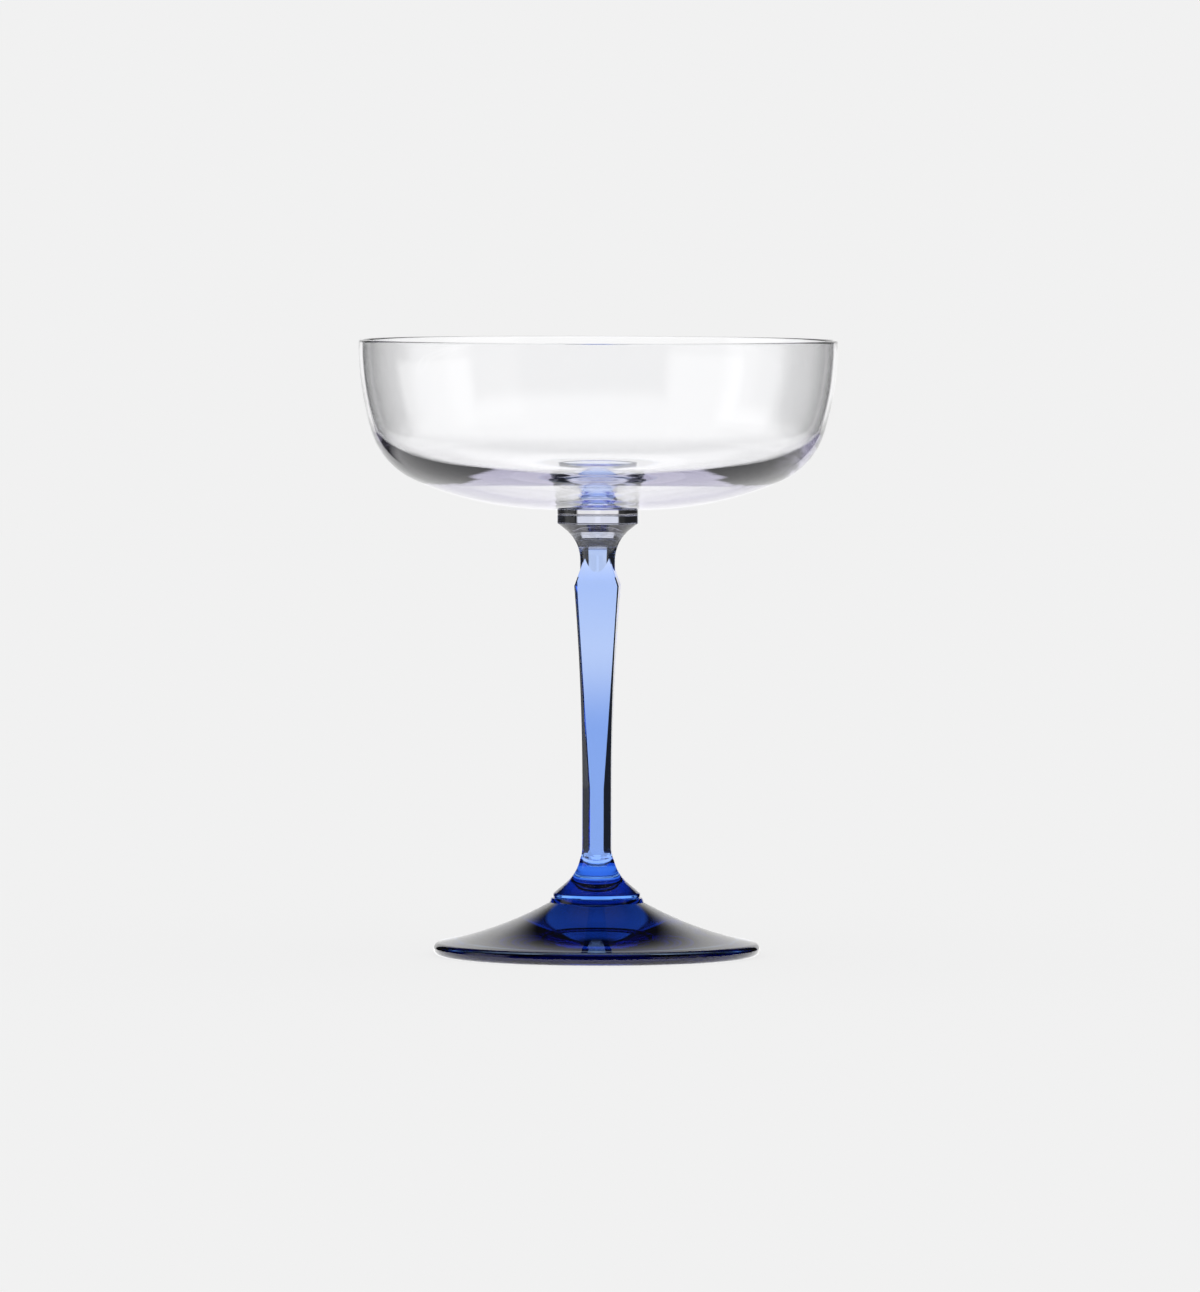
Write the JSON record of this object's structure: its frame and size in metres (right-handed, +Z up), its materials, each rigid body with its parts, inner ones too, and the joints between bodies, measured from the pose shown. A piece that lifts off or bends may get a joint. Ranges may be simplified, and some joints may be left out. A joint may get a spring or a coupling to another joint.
{
  "type": "champagne glass",
  "caption": "Champagne coupe: wide shallow clear bowl on a disc and trumpet, blue faceted stem with a ringed flare, and a blue conical foot.",
  "frame": {"origin": "centre of the foot's underside, on the surface that the glass stands on", "axes": "+Z up along the stem's axis to the rim; +X and +Y square to the broad facets of the stem"},
  "size_m": [0.115, 0.115, 0.1478],
  "materials": {
    "clear_glass": "fire-polished clear glass with a faint lavender cast",
    "blue_glass": "polished transparent blue glass"
  },
  "bodies": {
    "root": {"bowl": "clear_glass", "merese": "clear_glass", "trumpet": "clear_glass", "stem": "blue_glass", "stem_base": "blue_glass", "foot": "blue_glass"}
  },
  "joints": []
}
